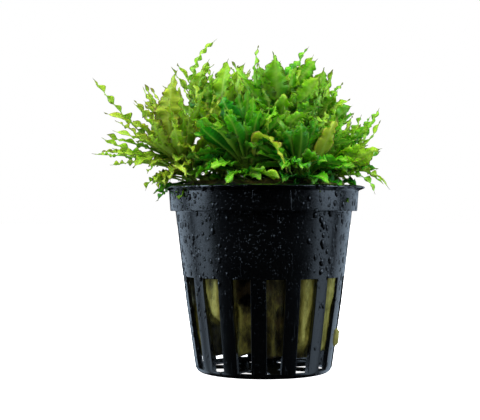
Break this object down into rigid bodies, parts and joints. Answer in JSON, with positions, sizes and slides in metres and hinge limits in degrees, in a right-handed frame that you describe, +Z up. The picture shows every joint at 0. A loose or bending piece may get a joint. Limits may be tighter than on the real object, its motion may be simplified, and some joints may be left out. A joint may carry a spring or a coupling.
{
  "type": "potted downoi aquarium plant",
  "caption": "Crinkle-leaved rosettes of a small aquarium plant, rooted in a mineral wool plug that sits in a black slotted net pot.",
  "frame": {"origin": "on the pot's axis, in the plane that the pot stands on", "axes": "+Z up along the pot's axis, -Y towards the viewer of the picture, +X to the viewer's right"},
  "size_m": [0.0805, 0.0687, 0.091],
  "materials": {
    "pot_plastic": "black moulded plastic, wet, with small beads of water",
    "rockwool": "wet olive-brown mineral wool fibre",
    "leaf": "fresh green leaf, satin",
    "shoot": "pale green stem and young leaves, satin"
  },
  "bodies": {
    "root": {"pot": "pot_plastic", "rockwool_plug": "rockwool", "leaf_left_1": "leaf", "leaf_left_2": "leaf", "leaf_left_3": "leaf", "leaf_left_4": "leaf", "leaf_left_5": "leaf", "leaf_left_6": "leaf", "leaf_centre_1": "leaf", "leaf_centre_2": "leaf", "leaf_centre_3": "leaf", "leaf_centre_4": "leaf", "leaf_centre_5": "leaf", "leaf_centre_6": "leaf", "leaf_front_right_1": "leaf", "leaf_front_right_2": "leaf", "leaf_front_right_3": "leaf", "leaf_front_right_4": "leaf", "leaf_front_right_5": "leaf", "leaf_front_right_6": "leaf", "leaf_right_1": "leaf", "leaf_right_2": "leaf", "leaf_right_3": "leaf", "leaf_right_4": "leaf", "leaf_right_5": "leaf", "leaf_right_6": "leaf", "leaf_middle_1": "leaf", "leaf_middle_2": "leaf", "leaf_middle_3": "leaf", "leaf_middle_4": "leaf", "leaf_middle_5": "leaf", "leaf_middle_6": "leaf", "leaf_back_left_1": "leaf", "leaf_back_left_2": "leaf", "leaf_back_left_3": "leaf", "leaf_back_left_4": "leaf", "leaf_back_left_5": "leaf", "leaf_back_left_6": "leaf", "leaf_back_right_1": "leaf", "leaf_back_right_2": "leaf", "leaf_back_right_3": "leaf", "leaf_back_right_4": "leaf", "leaf_back_right_5": "leaf", "leaf_back_right_6": "leaf", "leaf_back_1": "leaf", "leaf_back_2": "leaf", "leaf_back_3": "leaf", "leaf_back_4": "leaf", "leaf_back_5": "leaf", "leaf_back_6": "leaf", "shoot_left": "shoot", "shoot_centre": "shoot", "shoot_front_right": "shoot", "shoot_right": "shoot", "shoot_middle": "shoot", "shoot_back_left": "shoot", "shoot_back_right": "shoot", "shoot_back": "shoot"}
  },
  "joints": []
}
